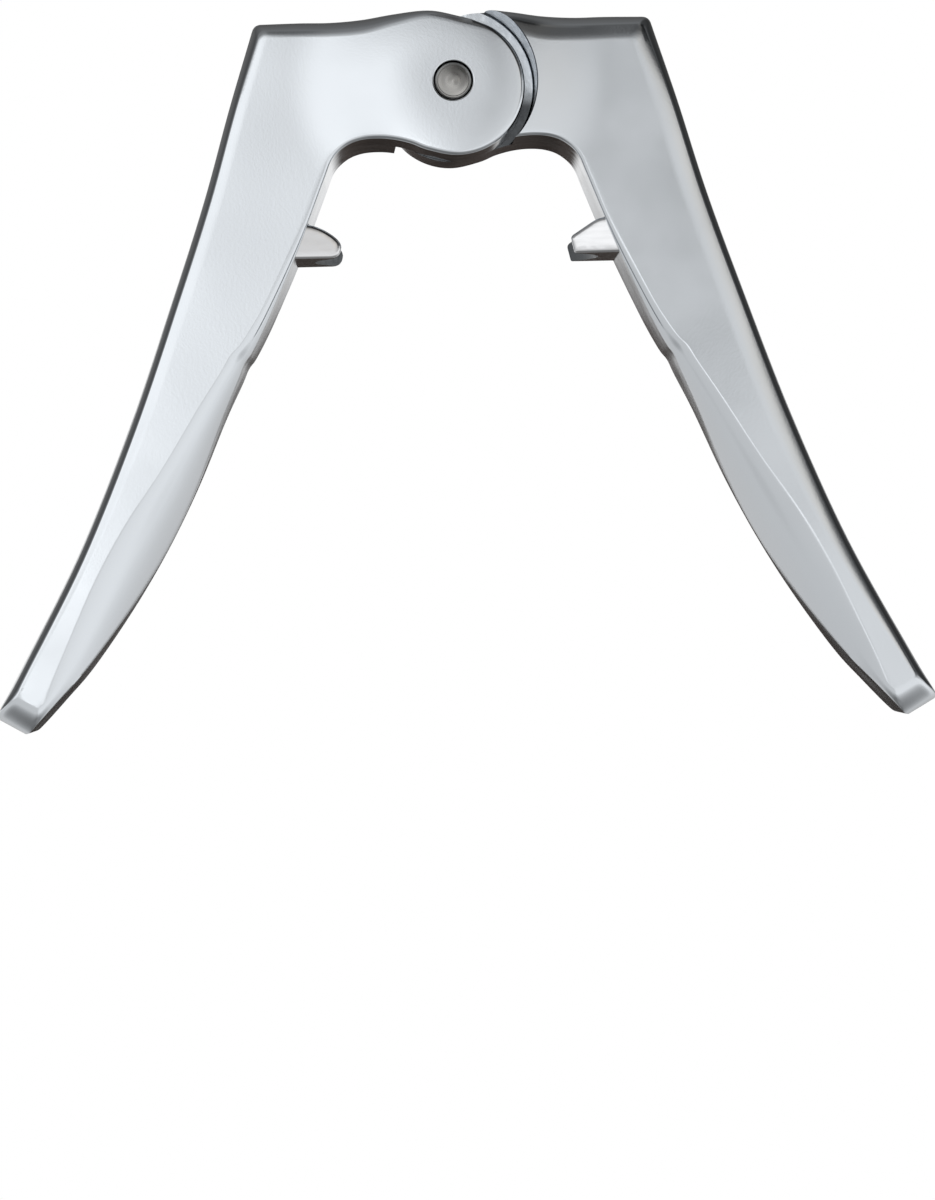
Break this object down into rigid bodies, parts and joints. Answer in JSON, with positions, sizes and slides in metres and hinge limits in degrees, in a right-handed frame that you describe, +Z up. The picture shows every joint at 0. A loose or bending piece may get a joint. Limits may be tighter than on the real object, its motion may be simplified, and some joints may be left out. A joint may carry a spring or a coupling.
{
  "type": "champagne opener",
  "caption": "Hinged sparkling-wine cork puller: cast levers on a half-lap pin hinge, with claws that close under the cork as the handles are squeezed.",
  "frame": {"origin": "the point of the cork's flat top that the underside of the hinge sits on, midway between the levers", "axes": "+Z up, along the bottle's axis; +X towards the right lever, across the open handles; +Y along the hinge pin, away from the front, which shows the pin's plain end"},
  "size_m": [0.121, 0.0244, 0.0922],
  "materials": {
    "satin_chrome": "satin",
    "bright_chrome": "polished",
    "turned_steel": "turned",
    "bearing_bronze": "plain",
    "white_nylon": "plain"
  },
  "bodies": {
    "left_side": {"left_lever": "satin_chrome", "left_claw": "bright_chrome", "hinge_pin": "turned_steel", "front_thrust_washer": "white_nylon", "wave_washer": "turned_steel"},
    "right_side": {"right_lever": "satin_chrome", "right_claw": "bright_chrome", "hinge_bush": "bearing_bronze", "rear_thrust_washer": "white_nylon"}
  },
  "joints": [
    {"name": "lever_hinge", "type": "hinge", "parent": "left_side", "child": "right_side", "pos_m": [0, 0, 0.00955], "axis": [0, 1, 0], "range_deg": [-46, 64]}
  ]
}
